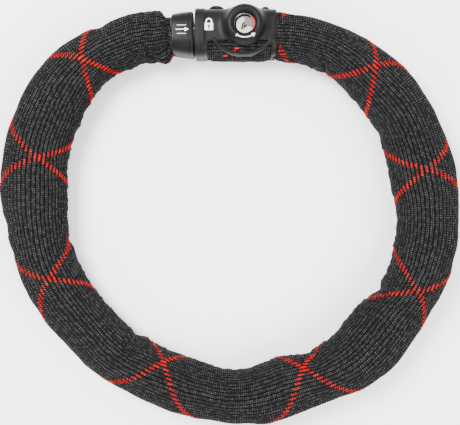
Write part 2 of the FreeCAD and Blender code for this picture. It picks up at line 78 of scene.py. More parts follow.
# ---- sleeve tables
CHAIN_Z = 20.0
STEP = 0.8  # between the sleeve's rings of vertices
RIBS = 48
POINTS_PER_RIB = 6
RIB_DEPTH = 0.9
WIDTH_TRIM = 0.35  # the ribs and swells stand this far outside the section
LOCK_NECK = (16.3, 15.4)  # half width and half height where the sleeve enters the lock
COLLAR_NECK = (12.3, 15.1)
# each pair is for the lock and for the collar
NECK_REACH = (9, 5)  # where the sleeve starts to narrow
NECK_INSIDE = (12.0, 5.0)  # how deep it goes in
PINCH_REACH = (9, 12)  # of the pleats
FULL_RADIUS = 20.6  # of the same length of fabric lying in a circle
TOP_HEIGHTS = (16.0, 19.4)  # least and most height of the sleeve above the chain
BOTTOM_DEPTH = 19.6
ROUNDNESS = 0.92  # of the section: 1 is an ellipse, less is squarer
PLEATS = 13  # round each gathered end
PLEAT_DEPTH = 0.95
GATHER_DEPTH = 0.45
PUCKER_DEPTH = 0.5
MM_PER_DEGREE = 2.4  # along the sleeve, for the folds
FLOOR_GAP = 0.15
STITCH = 1.55  # length of one knitted stitch
RING_CENTRE = np.array((0.0, 0.1))

# angle round the ring, full width of the sleeve there
WIDTHS = (
    (0, 43.5), (12, 47), (24, 43.5), (36, 43), (48, 39), (60, 34), (70, 33), (84, 31),
    (103, 28), (109, 33), (113, 36.5), (117, 37), (127, 36.5), (137, 40.5), (144, 45),
    (150, 46), (156, 45.5), (168, 47.5), (174, 47.5), (181, 44), (188, 42.5), (199, 42.5),
    (211, 41.5), (224, 40.5), (235, 39.5), (246, 39.5), (252, 41), (259, 38.5), (267, 37),
    (276, 39.5), (285, 43), (294, 40.5), (300, 38.5), (306, 41.5), (312, 45), (320, 47.5),
    (328, 44), (336, 40.5), (342, 42), (349, 44),
)

# angle round the ring, how far the fabric's middle stands outside the chain's there
SWAYS = (
    (0, 0.5), (14, 0.3), (30, 1.0), (44, 0.6), (54, -0.4), (66, 1.0), (84, 0), (96, 0), (104, -0.6),
    (110, -1.3), (117, -2.2), (127, 0.6), (140, 0.4), (155, 0), (168, 1.4), (180, 0.9), (192, 0.9),
    (208, 1.9), (220, 1.2), (229, 0), (246, 2.5), (256, 1.4), (270, -0.7), (282, 1.8), (290, 2.6),
    (300, -0.3), (308, -1.4), (318, 0.6), (327, 2.2), (338, -1.1), (349, -0.8),
)

# angle round the ring, turns of the coloured yarns there: they cross on top at whole turns
YARN_TURNS = (
    (13.3, 0), (45.7, 1), (63, 1.5), (71.5, 1.75), (75.6, 1.91), (110, 2.25), (120, 2.55),
    (133.2, 3), (163.3, 4), (199.2, 5), (245.6, 6), (295.6, 7), (338.2, 8),
)
# angle round the ring, turns by which both yarns lean to the ring's inside there
YARN_LEAN = (
    (13, 0), (46, -0.03), (90, 0), (133, 0), (163.4, 0.035), (190, 0), (225, 0.05), (245.6, 0.11),
    (270, 0.07), (295.6, 0.1), (318, 0.02), (338, 0), (350, 0),
)
TURNS_PER_LAP = 9
YARN_LIFT = 0.46  # of a stitch's middle above the ribbed surface's mean
DASH_LENGTH = 1.95
DASH_RADIUS = 0.35
DASH_PITCH = 1.4
DASHES = 3  # stitches where a yarn passes over a rib
DASH_SLANT = 0.55
DASH_BOW = 0.1
TOP_TURN = 0.25  # the top of the section, where the yarns cross
YARN_LOW = 0.03  # least height of a stitch
ROW_SCATTER = 0.12
SLANT_SCATTER = 0.08

# slow turning of the ribs: depth in turns, reach along the sleeve, offset and seed of the noise
RIB_DRIFT = ((0.012, 45, 9, 21), (0.0012, 5, 0, 22))

# folds pressed into the sleeve: angle round the ring, angle round the section
# (0 is the ring's outside, 90 the top, 180 the inside), reach along and across, depth
FOLDS = (
    (233, 165, 5, 60, 2.2),
    (236, 120, 7, 30, 1.2),
    (334, 178, 4, 50, 2.4),
    (330, 150, 5, 25, 1.2),
    (301, 150, 6, 50, 1.3),
    (259, 130, 6, 45, 1.0),
    (189, 175, 5, 50, 1.2),
    (181, 30, 6, 40, 1.0),
    (147, 178, 5, 40, 1.0),
    (126, 20, 4, 40, 1.3),
    (119, 172, 4, 40, 1.6),
    (111, 168, 4, 40, -2.8),
    (57, 175, 4, 45, 1.2),
    (29, 178, 5, 45, 1.2),
    (350, 10, 6, 50, 0.9),
    (275, 20, 6, 50, 0.9),
    (231.5, 135, 1.5, 38, 1.5),
    (235, 118, 1.3, 26, 1.1),
    (238, 160, 1.4, 34, 1.1),
    (229, 160, 1.3, 30, 0.9),
    (333, 150, 1.5, 36, 1.4),
    (329.5, 168, 1.3, 30, 1.1),
    (336.5, 170, 1.3, 26, 0.9),
    (301, 165, 1.4, 34, 1.0),
    (259, 150, 1.4, 34, 1.0),
    (183, 45, 1.4, 30, 0.9),
    (149, 165, 1.4, 28, 0.9),
    (115.5, 130, 1.3, 45, 1.5),
    (118, 160, 1.3, 34, 1.3),
    (113.5, 60, 1.3, 34, 1.1),
    (58, 160, 1.3, 34, 1.1),
    (61, 100, 1.3, 34, 0.8),
)


# ---- numbers
def wave_noise(u, v, seed, period):
    """Smooth noise in about -1..1 over u and v, periodic in v with that many cells."""
    cells = 4096
    table = np.random.RandomState(seed).uniform(-1, 1, (cells, period))
    iu = np.floor(u).astype(int)
    iv = np.floor(v).astype(int)
    fu = u - iu
    fv = v - iv
    fu = fu * fu * (3 - 2 * fu)
    fv = fv * fv * (3 - 2 * fv)
    a = table[iu % cells, iv % period]
    b = table[(iu + 1) % cells, iv % period]
    c = table[iu % cells, (iv + 1) % period]
    d = table[(iu + 1) % cells, (iv + 1) % period]
    return (a * (1 - fu) + b * fu) * (1 - fv) + (c * (1 - fu) + d * fu) * fv


def spline(points, step):
    """Points along a smooth curve through the given points, evenly spaced."""
    ends = [2 * points[0] - points[1]] + list(points) + [2 * points[-1] - points[-2]]
    samples = 80  # on each span
    fine = []
    for i in range(1, len(ends) - 2):
        p0, p1, p2, p3 = ends[i - 1 : i + 3]
        legs = ((p0, p1), (p1, p2), (p2, p3))
        d0, d1, d2 = (max(np.linalg.norm(b - a) ** 0.5, 1e-6) for a, b in legs)
        m1 = (p1 - p0) / d0 - (p2 - p0) / (d0 + d1) + (p2 - p1) / d1
        m2 = (p2 - p1) / d1 - (p3 - p1) / (d1 + d2) + (p3 - p2) / d2
        t = np.linspace(0, 1, samples, endpoint=False)[:, None]
        m1, m2 = m1 * d1, m2 * d1
        cubic = 2 * p1 - 2 * p2 + m1 + m2
        square = -3 * p1 + 3 * p2 - 2 * m1 - m2
        fine.append(cubic * t**3 + square * t**2 + m1 * t + p1)
    fine.append(points[-1][None])
    fine = np.concatenate(fine)
    length = np.concatenate(([0], np.cumsum(np.linalg.norm(np.diff(fine, axis=0), axis=1))))
    count = int(length[-1] / step) + 1
    s = np.linspace(0, length[-1], count)
    return np.stack([np.interp(s, length, fine[:, k]) for k in range(fine.shape[1])], 1), s


def around(angle, table):
    """The table's value at that angle, smooth and closed round the ring."""
    a = np.array([t[0] for t in table], float)
    w = np.array([t[1] for t in table], float)
    laps = np.concatenate((a - 360, a, a + 360))
    return smooth_curve(np.mod(angle, 360), laps, np.tile(w, 3))


def smooth_curve(x, a, w):
    """A smooth curve through the points (a, w), read at x."""
    i = np.clip(np.searchsorted(a, x, side="right") - 1, 1, len(a) - 3)
    h = a[i + 1] - a[i]
    m0 = (w[i + 1] - w[i - 1]) / (a[i + 1] - a[i - 1]) * h
    m1 = (w[i + 2] - w[i]) / (a[i + 2] - a[i]) * h
    t = (x - a[i]) / h
    return (
        (2 * t**3 - 3 * t**2 + 1) * w[i]
        + (t**3 - 2 * t**2 + t) * m0
        + (-2 * t**3 + 3 * t**2) * w[i + 1]
        + (t**3 - t**2) * m1
    )


def bump(x, width):
    """A soft hump of height 1 round x = 0."""
    return np.exp(-((x / width) ** 2))


def wrap(a):
    """Degrees brought into -180..180."""
    return np.mod(a + 180, 360) - 180


def smooth_step(t):
    """From 0 to 1 as t goes from 0 to 1, with soft ends."""
    t = np.clip(t, 0, 1)
    return t * t * (3 - 2 * t)


# ---- sleeve shape
JOINTS = {j["name"]: np.array(j["pos_m"][:2]) / MM for j in frame["joints"] if j["type"] == "hinge"}
CHAIN_BODIES = ["lock"] + [f"link_{n:02d}" for n in range(1, 19)] + ["pin_end"]
CHAIN_POINTS = []
for parent, child in zip(CHAIN_BODIES, CHAIN_BODIES[1:]):
    name = next(j["name"] for j in frame["joints"] if {j["parent"], j["child"]} == {parent, child})
    CHAIN_POINTS.append(JOINTS[name])

lock_low, lock_high = (np.array(c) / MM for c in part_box("housing_cover"))
collar_low = np.array(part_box("bolt_collar")[0]) / MM
LOCK_Y = CHAIN_POINTS[0][1]
SLEEVE_START = np.array((lock_high[0] - NECK_INSIDE[0], LOCK_Y))
SLEEVE_END = np.array((collar_low[0] + NECK_INSIDE[1], LOCK_Y))
route = [SLEEVE_START] + CHAIN_POINTS[:-1] + [SLEEVE_END]
centre, along = spline(route, STEP)
tangent = np.gradient(centre, axis=0)
tangent /= np.linalg.norm(tangent, axis=1)[:, None]
outward = np.stack((-tangent[:, 1], tangent[:, 0]), 1)
ring_angle = np.degrees(np.arctan2(centre[:, 1] - RING_CENTRE[1], centre[:, 0] - RING_CENTRE[0]))
unrolled = np.degrees(np.unwrap(np.radians(ring_angle)))
index = np.arange(len(centre))
centre_3d = np.column_stack((centre, np.full(len(centre), CHAIN_Z)))


def yarn_turns():
    """Turns of the coloured yarns at each ring of the sleeve."""
    laps = (-2, -1, 0, 1)
    angles = np.array([a + 360 * k for k in laps for a, t in YARN_TURNS])
    turns = np.array([t + TURNS_PER_LAP * k for k in laps for a, t in YARN_TURNS], float)
    return smooth_curve(unrolled, angles, turns)


# where along the sleeve it leaves the lock, and where it reaches the collar
s_lock = along[np.argmax(centre[:, 0] > lock_high[0] + 4)]
s_collar = along[len(along) - 1 - np.argmax(centre[::-1, 0] < collar_low[0] - 3)]


def section(rows, phi, lift=0.0):
    """Points of the sleeve's surface in mm. rows index the route (may be fractional), phi is
    the angle round the section in turns, 0 at the ring's outside and 0.25 on top."""
    cx, cy, ox, oy, angle, s = (
        np.interp(rows, index, line) for line in (*centre.T, *outward.T, unrolled, along)
    )
    half = around(angle, WIDTHS) / 2 - WIDTH_TRIM
    half = half * (1 + 0.012 * wave_noise(s / 9 + 40, np.zeros_like(s), 3, 1))
    up = np.clip(np.sqrt(np.maximum(2 * FULL_RADIUS**2 - half**2, 60)), *TOP_HEIGHTS)
    down = np.full_like(up, BOTTOM_DEPTH)
    # narrow necks where the sleeve goes into the lock and into the collar
    at_lock = smooth_step((lock_high[0] + NECK_REACH[0] - cx) / NECK_REACH[0])
    at_lock = at_lock * (s < along[-1] / 4)
    at_collar = smooth_step((cx - collar_low[0] + NECK_REACH[1]) / NECK_REACH[1])
    at_collar = at_collar * (s > along[-1] * 0.75)
    for neck, near in ((LOCK_NECK, at_lock), (COLLAR_NECK, at_collar)):
        half = half * (1 - near) + neck[0] * near
        up = up * (1 - near) + neck[1] * near
        down = down * (1 - near) + neck[1] * near
    a = phi * TAU
    c, si = np.cos(a), np.sin(a)
    sway = around(angle, SWAYS) * (1 - at_lock) * (1 - at_collar)
    x = half * np.sign(c) * np.abs(c) ** ROUNDNESS - sway
    z = np.where(si > 0, up, down) * np.sign(si) * np.abs(si) ** ROUNDNESS
    # soft lumps, creases at the inside of each bend, and the pressed folds
    deg = np.degrees(a)
    swell = 0.55 * wave_noise(s / 16, phi * 6, 11, 6) + 0.3 * wave_noise(s / 6.5, phi * 9, 12, 9)
    inner = 0.5 - 0.5 * c
    pucker = PUCKER_DEPTH * inner**1.5 * wave_noise(s / 2.6, phi * 5, 13, 5)
    fold = np.zeros_like(x)
    for at, side, reach, spread, depth in FOLDS:
        # each valley slants a little, and has a softer ridge beside it
        lean = 0.05 * wrap(deg - side)
        d_along = wrap(angle - at + lean * 0.6) * MM_PER_DEGREE
        fold -= depth * bump(d_along, reach) * bump(wrap(deg - side), spread)
        fold += 0.45 * depth * bump(d_along - 1.7 * reach, reach) * bump(wrap(deg - side), spread)
    calm = (1 - 0.85 * at_lock) * (1 - 0.9 * at_collar)
    pinch = bump(s - s_lock, PINCH_REACH[0]) + 1.3 * bump(s_collar - s, PINCH_REACH[1])
    waver = 2.2 * wave_noise(s / 5, phi * 4, 14, 4)
    pleats = PLEAT_DEPTH * pinch * np.sin(PLEATS * a + waver) * (0.6 + 0.4 * inner)
    gather = GATHER_DEPTH * pinch * wave_noise(s / 1.7, phi * 12, 15, 12)
    grow = (swell + pucker + fold) * calm + pleats + gather + lift
    x = x + c * grow
    zz = CHAIN_Z + (z + si * grow)
    # fabric resting on the table spreads flat there
    low = FLOOR_GAP + 0.35
    zz = np.where(zz < low, low - (low - zz) * 0.12, zz)
    zz = np.maximum(zz, FLOOR_GAP)
    return np.stack((cx + ox * x, cy + oy * x, zz), -1)


def drift(rows):
    """Slow turning of the ribs round the section, in turns."""
    s = np.interp(rows, index, along)
    return sum(
        depth * wave_noise(s / reach + offset, np.zeros_like(s), seed, 1)
        for depth, reach, offset, seed in RIB_DRIFT
    )


def rib_height(ribs, turns):
    """Height of that many ribs round the section, over turns round it."""
    return RIB_DEPTH * (np.abs(np.sin(math.pi * ribs * turns)) ** 0.75 - 0.6)


# ---- making meshes
def add_object(name, data):
    obj = bpy.data.objects.new(name, data)
    bpy.context.scene.collection.objects.link(obj)
    return obj


def small_mesh(name, points, faces):
    """Points in mm and faces of any size as a smooth mesh."""
    mesh = bpy.data.meshes.new(name)
    mesh.from_pydata([tuple(p) for p in points * MM], [], faces)
    obj = add_object(name, mesh)
    mesh.shade_smooth()
    return obj


def quad_mesh(name, points, quads):
    """Points in mm and an array of quads as a mesh, without an object yet."""
    mesh = bpy.data.meshes.new(name)
    mesh.vertices.add(len(points))
    mesh.vertices.foreach_set("co", (points * MM).astype(np.float32).ravel())
    mesh.loops.add(quads.size)
    mesh.loops.foreach_set("vertex_index", quads.ravel().astype(np.int32))
    mesh.polygons.add(len(quads))
    mesh.polygons.foreach_set("loop_start", np.arange(0, quads.size, 4, dtype=np.int32))
    mesh.update(calc_edges=True)
    return mesh


def tube_mesh(name, points, normals, uvs, keep=None):
    """Rings of points (rings, columns, 3) in mm as a tube with UVs named knit. keep picks its faces."""
    rows, cols = points.shape[:2]
    this = np.arange(rows - 1)[:, None] * cols
    after = this + cols
    c = np.arange(cols)[None]
    n = (c + 1) % cols
    quads = np.stack((this + c, this + n, after + n, after + c), -1).reshape(-1, 4)
    kept = np.ones(len(quads), bool) if keep is None else keep[:-1].ravel()
    mesh = quad_mesh(name, points.reshape(-1, 3), quads[kept])
    layer = mesh.uv_layers.new(name="knit")
    u, v = uvs
    column = u[0, 1] - u[0, 0]
    uu = np.stack((u[:-1], u[:-1] + column, u[1:] + column, u[1:]), -1)
    vv = np.stack((v[:-1], v[:-1], v[1:], v[1:]), -1)
    corners = np.stack((uu, vv), -1).reshape(-1, 4, 2)[kept]
    layer.data.foreach_set("uv", corners.astype(np.float32).ravel())
    mesh.shade_smooth()
    mesh.validate()
    mesh.normals_split_custom_set_from_vertices(normals.reshape(-1, 3).tolist())
    return add_object(name, mesh)


def tube_normals(points):
    """Smooth normals of a tube's points, all on the same side of it."""
    d_row = np.gradient(points, axis=0)
    d_col = np.roll(points, -1, axis=1) - np.roll(points, 1, axis=1)
    n = np.cross(d_col, d_row)
    n /= np.maximum(np.linalg.norm(n, axis=-1), 1e-9)[..., None]
    return n


# ---- materials
class Nodes:
    """A small helper to write node graphs as expressions."""

    def __init__(self, name):
        self.mat = bpy.data.materials.new(name)
        self.mat.use_nodes = True
        self.tree = self.mat.node_tree
        self.shader = self.tree.nodes["Principled BSDF"]

    def node(self, kind, **props):
        n = self.tree.nodes.new(kind)
        for k, v in props.items():
            setattr(n, k, v)
        return n

    def put(self, socket, value):
        if hasattr(value, "is_output"):
            self.tree.links.new(value, socket)
        else:
            socket.default_value = value

    def math(self, op, *args):
        n = self.node("ShaderNodeMath", operation=op)
        for s, v in zip(n.inputs, args):
            self.put(s, v)
        return n.outputs[0]

    def mix(self, factor, a, b):
        n = self.node("ShaderNodeMix", data_type="RGBA")
        self.put(n.inputs["Factor"], factor)
        self.put(n.inputs["A"], a)
        self.put(n.inputs["B"], b)
        return n.outputs["Result"]

    def ramp(self, value, low, high, out_low=0.0, out_high=1.0):
        n = self.node("ShaderNodeMapRange")
        for s, v in zip(n.inputs, (value, low, high, out_low, out_high)):
            self.put(s, v)
        return n.outputs[0]

    def noise(self, vector, scale, detail=2.0, roughness=0.5):
        n = self.node("ShaderNodeTexNoise")
        self.put(n.inputs["Vector"], vector)
        n.inputs["Scale"].default_value = scale
        n.inputs["Detail"].default_value = detail
        n.inputs["Roughness"].default_value = roughness
        return n.outputs["Fac"]

    def place(self):
        """Position on the object, in metres."""
        return self.node("ShaderNodeTexCoord").outputs["Object"]

    def bump(self, height, strength, distance):
        n = self.node("ShaderNodeBump")
        n.inputs["Strength"].default_value = strength
        n.inputs["Distance"].default_value = distance
        self.put(n.inputs["Height"], height)
        self.tree.links.new(n.outputs["Normal"], self.shader.inputs["Normal"])

    def set(self, **values):
        """Sets or links the shader's inputs."""
        names = {
            "color": "Base Color", "rough": "Roughness", "metal": "Metallic",
            "sheen": "Sheen Weight", "sheen_rough": "Sheen Roughness", "spec": "Specular IOR Level",
        }
        for k, v in values.items():
            self.put(self.shader.inputs[names[k]], v)


def rgb(r, g, b):
    return (r, g, b, 1.0)


def knit_material(name, dark, light, glint):
    """Knitted fabric: the map knit counts ribs in u and stitches in v."""
    m = Nodes(name)
    uv = m.node("ShaderNodeUVMap", uv_map="knit").outputs[0]
    sep = m.node("ShaderNodeSeparateXYZ")
    m.put(sep.inputs[0], uv)
    u, v = sep.outputs[0], sep.outputs[1]
    place = m.place()
    # each rib is a column of V-shaped loops: side is the distance from its middle
    side = m.math("ABSOLUTE", m.math("SUBTRACT", m.math("FRACT", u), 0.5))
    wobble = m.math("MULTIPLY", m.math("SUBTRACT", m.noise(place, 900, 1.0), 0.5), 0.35)
    row = m.math("ADD", m.math("ADD", v, m.math("MULTIPLY", side, 1.3)), wobble)
    loop = m.math("SINE", m.math("MULTIPLY", row, TAU))
    loop01 = m.math("ADD", m.math("MULTIPLY", loop, 0.5), 0.5)
    crown = m.ramp(side, 0.46, 0.2)
    column = m.math("ABSOLUTE", m.math("SUBTRACT", side, 0.22))
    ply = m.ramp(column, 0.2, 0.0)
    stitches = m.math("MULTIPLY", loop01, m.math("MULTIPLY", ply, 0.8))
    height = m.math("ADD", stitches, m.math("MULTIPLY", crown, 0.4))
    fuzz = m.noise(place, 5200, 2.0, 0.7)
    height = m.math("ADD", height, m.math("MULTIPLY", fuzz, 0.25))
    m.bump(height, 0.9, 0.0004)
    # painted shade: the colour is darkest between the ribs and between the loops, where shade falls, and
    # it also changes a little from place to place
    patch = m.noise(place, 35, 3.0)
    painted_shade_tone = m.math("MULTIPLY", m.math("MULTIPLY", crown, 0.75), m.ramp(loop01, 0.0, 1.0, 0.45, 1.0))
    painted_shade_tone = m.math("MULTIPLY", painted_shade_tone, m.ramp(patch, 0.3, 0.7, 0.8, 1.1))
    # dark is the painted shade between the ribs, light is the fabric's own colour on their crests
    base = m.mix(painted_shade_tone, dark, light)
    # painted highlights: light specks on the highest part of some loops
    spot = m.math("MULTIPLY", m.math("POWER", loop01, 5.0), m.math("POWER", ply, 2.0))
    spot = m.math("MULTIPLY", spot, m.ramp(m.noise(place, 420, 1.0), 0.42, 0.62))
    base = m.mix(m.math("MULTIPLY", spot, 0.8), base, glint)
    m.set(color=base, rough=m.ramp(fuzz, 0.3, 0.7, 0.62, 0.82), sheen=0.015, sheen_rough=0.45, spec=0.04)
    return m.mat


def grained_plastic(name, color, worn, grain=1.0, rough=0.42):
    """Plastic with a fine grain, worn patches and a few scuffs."""
    m = Nodes(name)
    place = m.place()
    fine = m.noise(place, 2600, 2.0, 0.6)
    coarse = m.noise(place, 140, 3.0)
    m.bump(m.math("ADD", fine, m.math("MULTIPLY", coarse, 0.3)), 0.35 * grain, 0.00012)
    base = m.mix(m.ramp(coarse, 0.35, 0.7), color, worn)
    scuffs = m.ramp(m.noise(place, 900, 4.0, 0.75), 0.66, 0.74)
    base = m.mix(m.math("MULTIPLY", scuffs, 0.25), base, rgb(0.03, 0.029, 0.028))
    m.set(color=base, rough=m.ramp(fine, 0.3, 0.7, rough - 0.06, rough + 0.08), spec=0.085)
    return m.mat


def brushed_metal(name, color, dark, rough, scale, metal=1.0, shade_rim=None):
    """scale stretches the brushing along x, y and z. The last argument gives the x, y and radius
    in metres past which the metal is painted near black as shade."""
    m = Nodes(name)
    place = m.place()
    stretch = m.node("ShaderNodeMapping")
    m.put(stretch.inputs["Vector"], place)
    stretch.inputs["Scale"].default_value = scale
    lines = m.noise(stretch.outputs[0], 3.0, 4.0, 0.6)
    stains = m.noise(place, 90, 3.0)
    base = m.mix(m.ramp(stains, 0.35, 0.75, 0.0, 0.6), color, dark)
    # painted shade: near black past the radius, standing in for the dark of the deep bowl round the key
    if shade_rim:
        sep = m.node("ShaderNodeSeparateXYZ")
        m.put(sep.inputs[0], place)
        offsets = [m.math("SUBTRACT", sep.outputs[i], shade_rim[i]) for i in (0, 1)]
        squares = [m.math("POWER", m.math("ABSOLUTE", offset), 2.0) for offset in offsets]
        away = m.math("SQRT", m.math("ADD", *squares))
        soft = 0.0001
        base = m.mix(m.ramp(away, shade_rim[2] - soft, shade_rim[2] + soft), base, rgb(0.004, 0.004, 0.004))
    m.bump(lines, 0.15, 0.00006)
    m.set(color=base, rough=m.ramp(lines, 0.3, 0.7, rough - 0.05, rough + 0.1), metal=metal)
    return m.mat


def thread_material(name):
    """Red yarn with visible fibres."""
    m = Nodes(name)
    place = m.place()
    fibres = m.noise(place, 3400, 2.0, 0.6)
    patch = m.noise(place, 260, 2.0)
    base = m.mix(m.ramp(patch, 0.35, 0.65), rgb(0.26, 0.0015, 0.0012), rgb(0.5, 0.006, 0.003))
    base = m.mix(m.ramp(fibres, 0.6, 0.35, 0.0, 0.55), base, rgb(0.13, 0.001, 0.001))
    m.bump(fibres, 0.5, 0.00015)
    m.set(color=base, rough=0.7, spec=0.04)
    return m.mat


# the first colour is painted shade between the ribs, the last is a painted highlight on the loops
FABRIC = knit_material(
    "sleeve_knit", rgb(0.0015, 0.0015, 0.0016), rgb(0.0125, 0.0123, 0.0123), rgb(0.19, 0.19, 0.195)
)
RED_YARN = thread_material("red_yarn")
HOUSING = grained_plastic(
    "housing_satin_plastic", rgb(0.0042, 0.004, 0.0038), rgb(0.0068, 0.0065, 0.0062)
)
COLLAR = grained_plastic(
    "collar_satin_plastic", rgb(0.004, 0.0038, 0.0037), rgb(0.007, 0.0067, 0.0064), grain=0.8, rough=0.36
)
CHAIN_STEEL = brushed_metal(
    "zinc_chain_steel", rgb(0.62, 0.61, 0.58), rgb(0.38, 0.37, 0.36), rough=0.35, scale=(60, 60, 60)
)
CORE_STEEL = brushed_metal(
    "cast_core_steel", rgb(0.4, 0.4, 0.41), rgb(0.2, 0.2, 0.21), rough=0.45, scale=(80, 80, 80)
)
PIN_STEEL = brushed_metal(
    "ground_pin_steel", rgb(0.66, 0.65, 0.63), rgb(0.45, 0.45, 0.45), rough=0.25, scale=(900, 60, 60)
)
DARK_PIN = brushed_metal(
    "hardened_pin_steel", rgb(0.3, 0.29, 0.28), rgb(0.16, 0.16, 0.16), rough=0.3, scale=(900, 60, 60)
)
SMALL_STEEL = brushed_metal(
    "plated_small_steel", rgb(0.55, 0.54, 0.52), rgb(0.3, 0.3, 0.3), rough=0.32, scale=(200, 200, 200)
)
BLACK_STEEL = brushed_metal(
    "blackened_steel", rgb(0.012, 0.012, 0.012), rgb(0.006, 0.006, 0.006), rough=0.6,
    scale=(200, 200, 200), metal=0.0,
)
BRASS = brushed_metal(
    "cylinder_brass", rgb(0.78, 0.56, 0.25), rgb(0.45, 0.3, 0.12), rough=0.3, scale=(60, 60, 700)
)
CHROME = brushed_metal(
    "plug_chrome", rgb(0.82, 0.83, 0.85), rgb(0.62, 0.63, 0.65), rough=0.14, scale=(500, 60, 60)
)
ring_low, ring_high = (np.array(c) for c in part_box("keyhole_ring"))
KEY_AXIS = ((ring_low + ring_high) / 2)[:2]
SHUTTER_SHADE_RADIUS = 0.0059  # metres from the key's axis to where the shutter is painted near black as shade in the bowl
COVER_STEEL = brushed_metal(
    "shutter_steel", rgb(0.12, 0.115, 0.12), rgb(0.07, 0.068, 0.07), rough=0.42,
    scale=(60, 600, 60), shade_rim=(*KEY_AXIS.tolist(), SHUTTER_SHADE_RADIUS),
)
WHITE_INK = grained_plastic("white_ink", rgb(0.7, 0.7, 0.69), rgb(0.6, 0.6, 0.6), grain=0.4, rough=0.5)
RING_RED = grained_plastic(
    "ring_red_plastic", rgb(0.55, 0.02, 0.012), rgb(0.7, 0.03, 0.015), grain=0.5, rough=0.35
)

NODE_MATERIALS = {
    "housing_cover": HOUSING, "housing_base": HOUSING, "housing_screws": SMALL_STEEL,
    "lock_core": CORE_STEEL, "core_base_plate": CORE_STEEL, "anchor_pin": PIN_STEEL,
    "cylinder_barrel": BRASS, "keyhole_ring": RING_RED, "plate_screws": SMALL_STEEL,
    "cover_spring": SMALL_STEEL, "key_plug": CHROME, "tumbler_discs": BRASS, "disc_spacers": SMALL_STEEL,
    "sidebar": SMALL_STEEL, "locking_cam": SMALL_STEEL, "cam_clip": SMALL_STEEL,
    "latch_bolt": PIN_STEEL, "keyway_cover": COVER_STEEL, "locking_pin": DARK_PIN,
    "bolt_collar": COLLAR, "sleeve_clamp": BLACK_STEEL, "sleeve_lock_span": FABRIC,
}
for name, obj in frame["nodes"].items():
    material = NODE_MATERIALS.get(name, CHAIN_STEEL)
    obj.data.materials.clear()
    obj.data.materials.append(material)


# ---- sleeve pieces
def make_sleeve():
    """The knitted tube in pieces from middle to middle of its chain links. Gives the cuts' rows."""
    rows = len(centre)
    columns = RIBS * POINTS_PER_RIB
    grid_rows = np.arange(rows, dtype=float)[:, None] * np.ones((1, columns))
    turns = np.arange(columns)[None] / columns * np.ones((rows, 1))
    # the ribs' phase is taken before the drift, so they turn with it
    points = section(grid_rows, turns + drift(grid_rows))
    n = tube_normals(points)
    flip = np.sign((n * (points - centre_3d[:, None])).sum(-1).mean())
    points = points + flip * n * rib_height(RIBS, turns)[..., None]
    points[..., 2] = np.maximum(points[..., 2], FLOOR_GAP * 0.5)
    normals = flip * tube_normals(points)
    uvs = (turns * RIBS, np.repeat((along / STITCH)[:, None], columns, 1))
    cuts = [0]
    for a, b in zip(CHAIN_POINTS, CHAIN_POINTS[1:]):
        middle = (a + b) / 2
        cuts.append(int(np.argmin(np.linalg.norm(centre - middle, axis=1))))
    cuts.append(rows - 1)
    order = slice(None, None, 1 if flip > 0 else -1)
    for k, (i, j) in enumerate(zip(cuts, cuts[1:])):
        part = (slice(i, j + 1), order)
        obj = tube_mesh(f"sleeve_tube_{k:02d}", points[part], normals[part], [x[part] for x in uvs])
        obj.data.materials.append(FABRIC)
        attach(obj)
        if k >= 1:
            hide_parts(f"sleeve_{k:02d}")
    return cuts


def attach(obj):
    """Bakes a piece's placing into its mesh."""
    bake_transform(obj)


def capsule(length, radius):
    """A short rounded thread along X, as vertices and faces."""
    rings = ((-0.5, 0.35), (-0.4, 0.85), (-0.15, 1.0), (0.15, 1.0), (0.4, 0.85), (0.5, 0.35))
    sides = 6
    verts = []
    for x, r in rings:
        for i in range(sides):
            a = TAU * i / sides
            verts.append((x * length, r * radius * math.cos(a), r * radius * math.sin(a)))
    faces = []
    for k in range(len(rings) - 1):
        for i in range(sides):
            j = (i + 1) % sides
            faces.append((k * sides + i, k * sides + j, (k + 1) * sides + j, (k + 1) * sides + i))
    faces.append(tuple(range(sides))[::-1])
    faces.append(tuple((len(rings) - 1) * sides + i for i in range(sides)))
    return np.array(verts), faces


def place_dashes():
    """The stitches of both yarns: row, turns before the drift, winding of the yarn, extra slant."""
    rng = np.random.RandomState(7)
    fine = np.linspace(0, len(centre) - 1, len(centre) * 8)
    lean = around(np.interp(fine, index, unrolled), YARN_LEAN)
    turns = np.interp(fine, index, yarn_turns())
    dashes = []
    for hand in (1, -1):
        turn = turns * hand + TOP_TURN + lean - drift(fine)
        whole = np.floor(turn * RIBS - 0.5)
        for at in np.nonzero(np.diff(whole))[0]:
            rib = max(whole[at], whole[at + 1]) + 0.5
            for k in range(DASHES):
                shift = (k - (DASHES - 1) / 2) * DASH_PITCH / STEP
                row = fine[at] + shift + rng.uniform(-ROW_SCATTER, ROW_SCATTER)
                clear = np.interp(row, index, centre[:, 0]) > lock_high[0] + 0.5 or row > len(centre) / 3
                if clear and row < len(centre) - 1.5:
                    extra = rng.uniform(-SLANT_SCATTER, SLANT_SCATTER)
                    dashes.append((row, rib / RIBS, hand, extra))
    return dashes


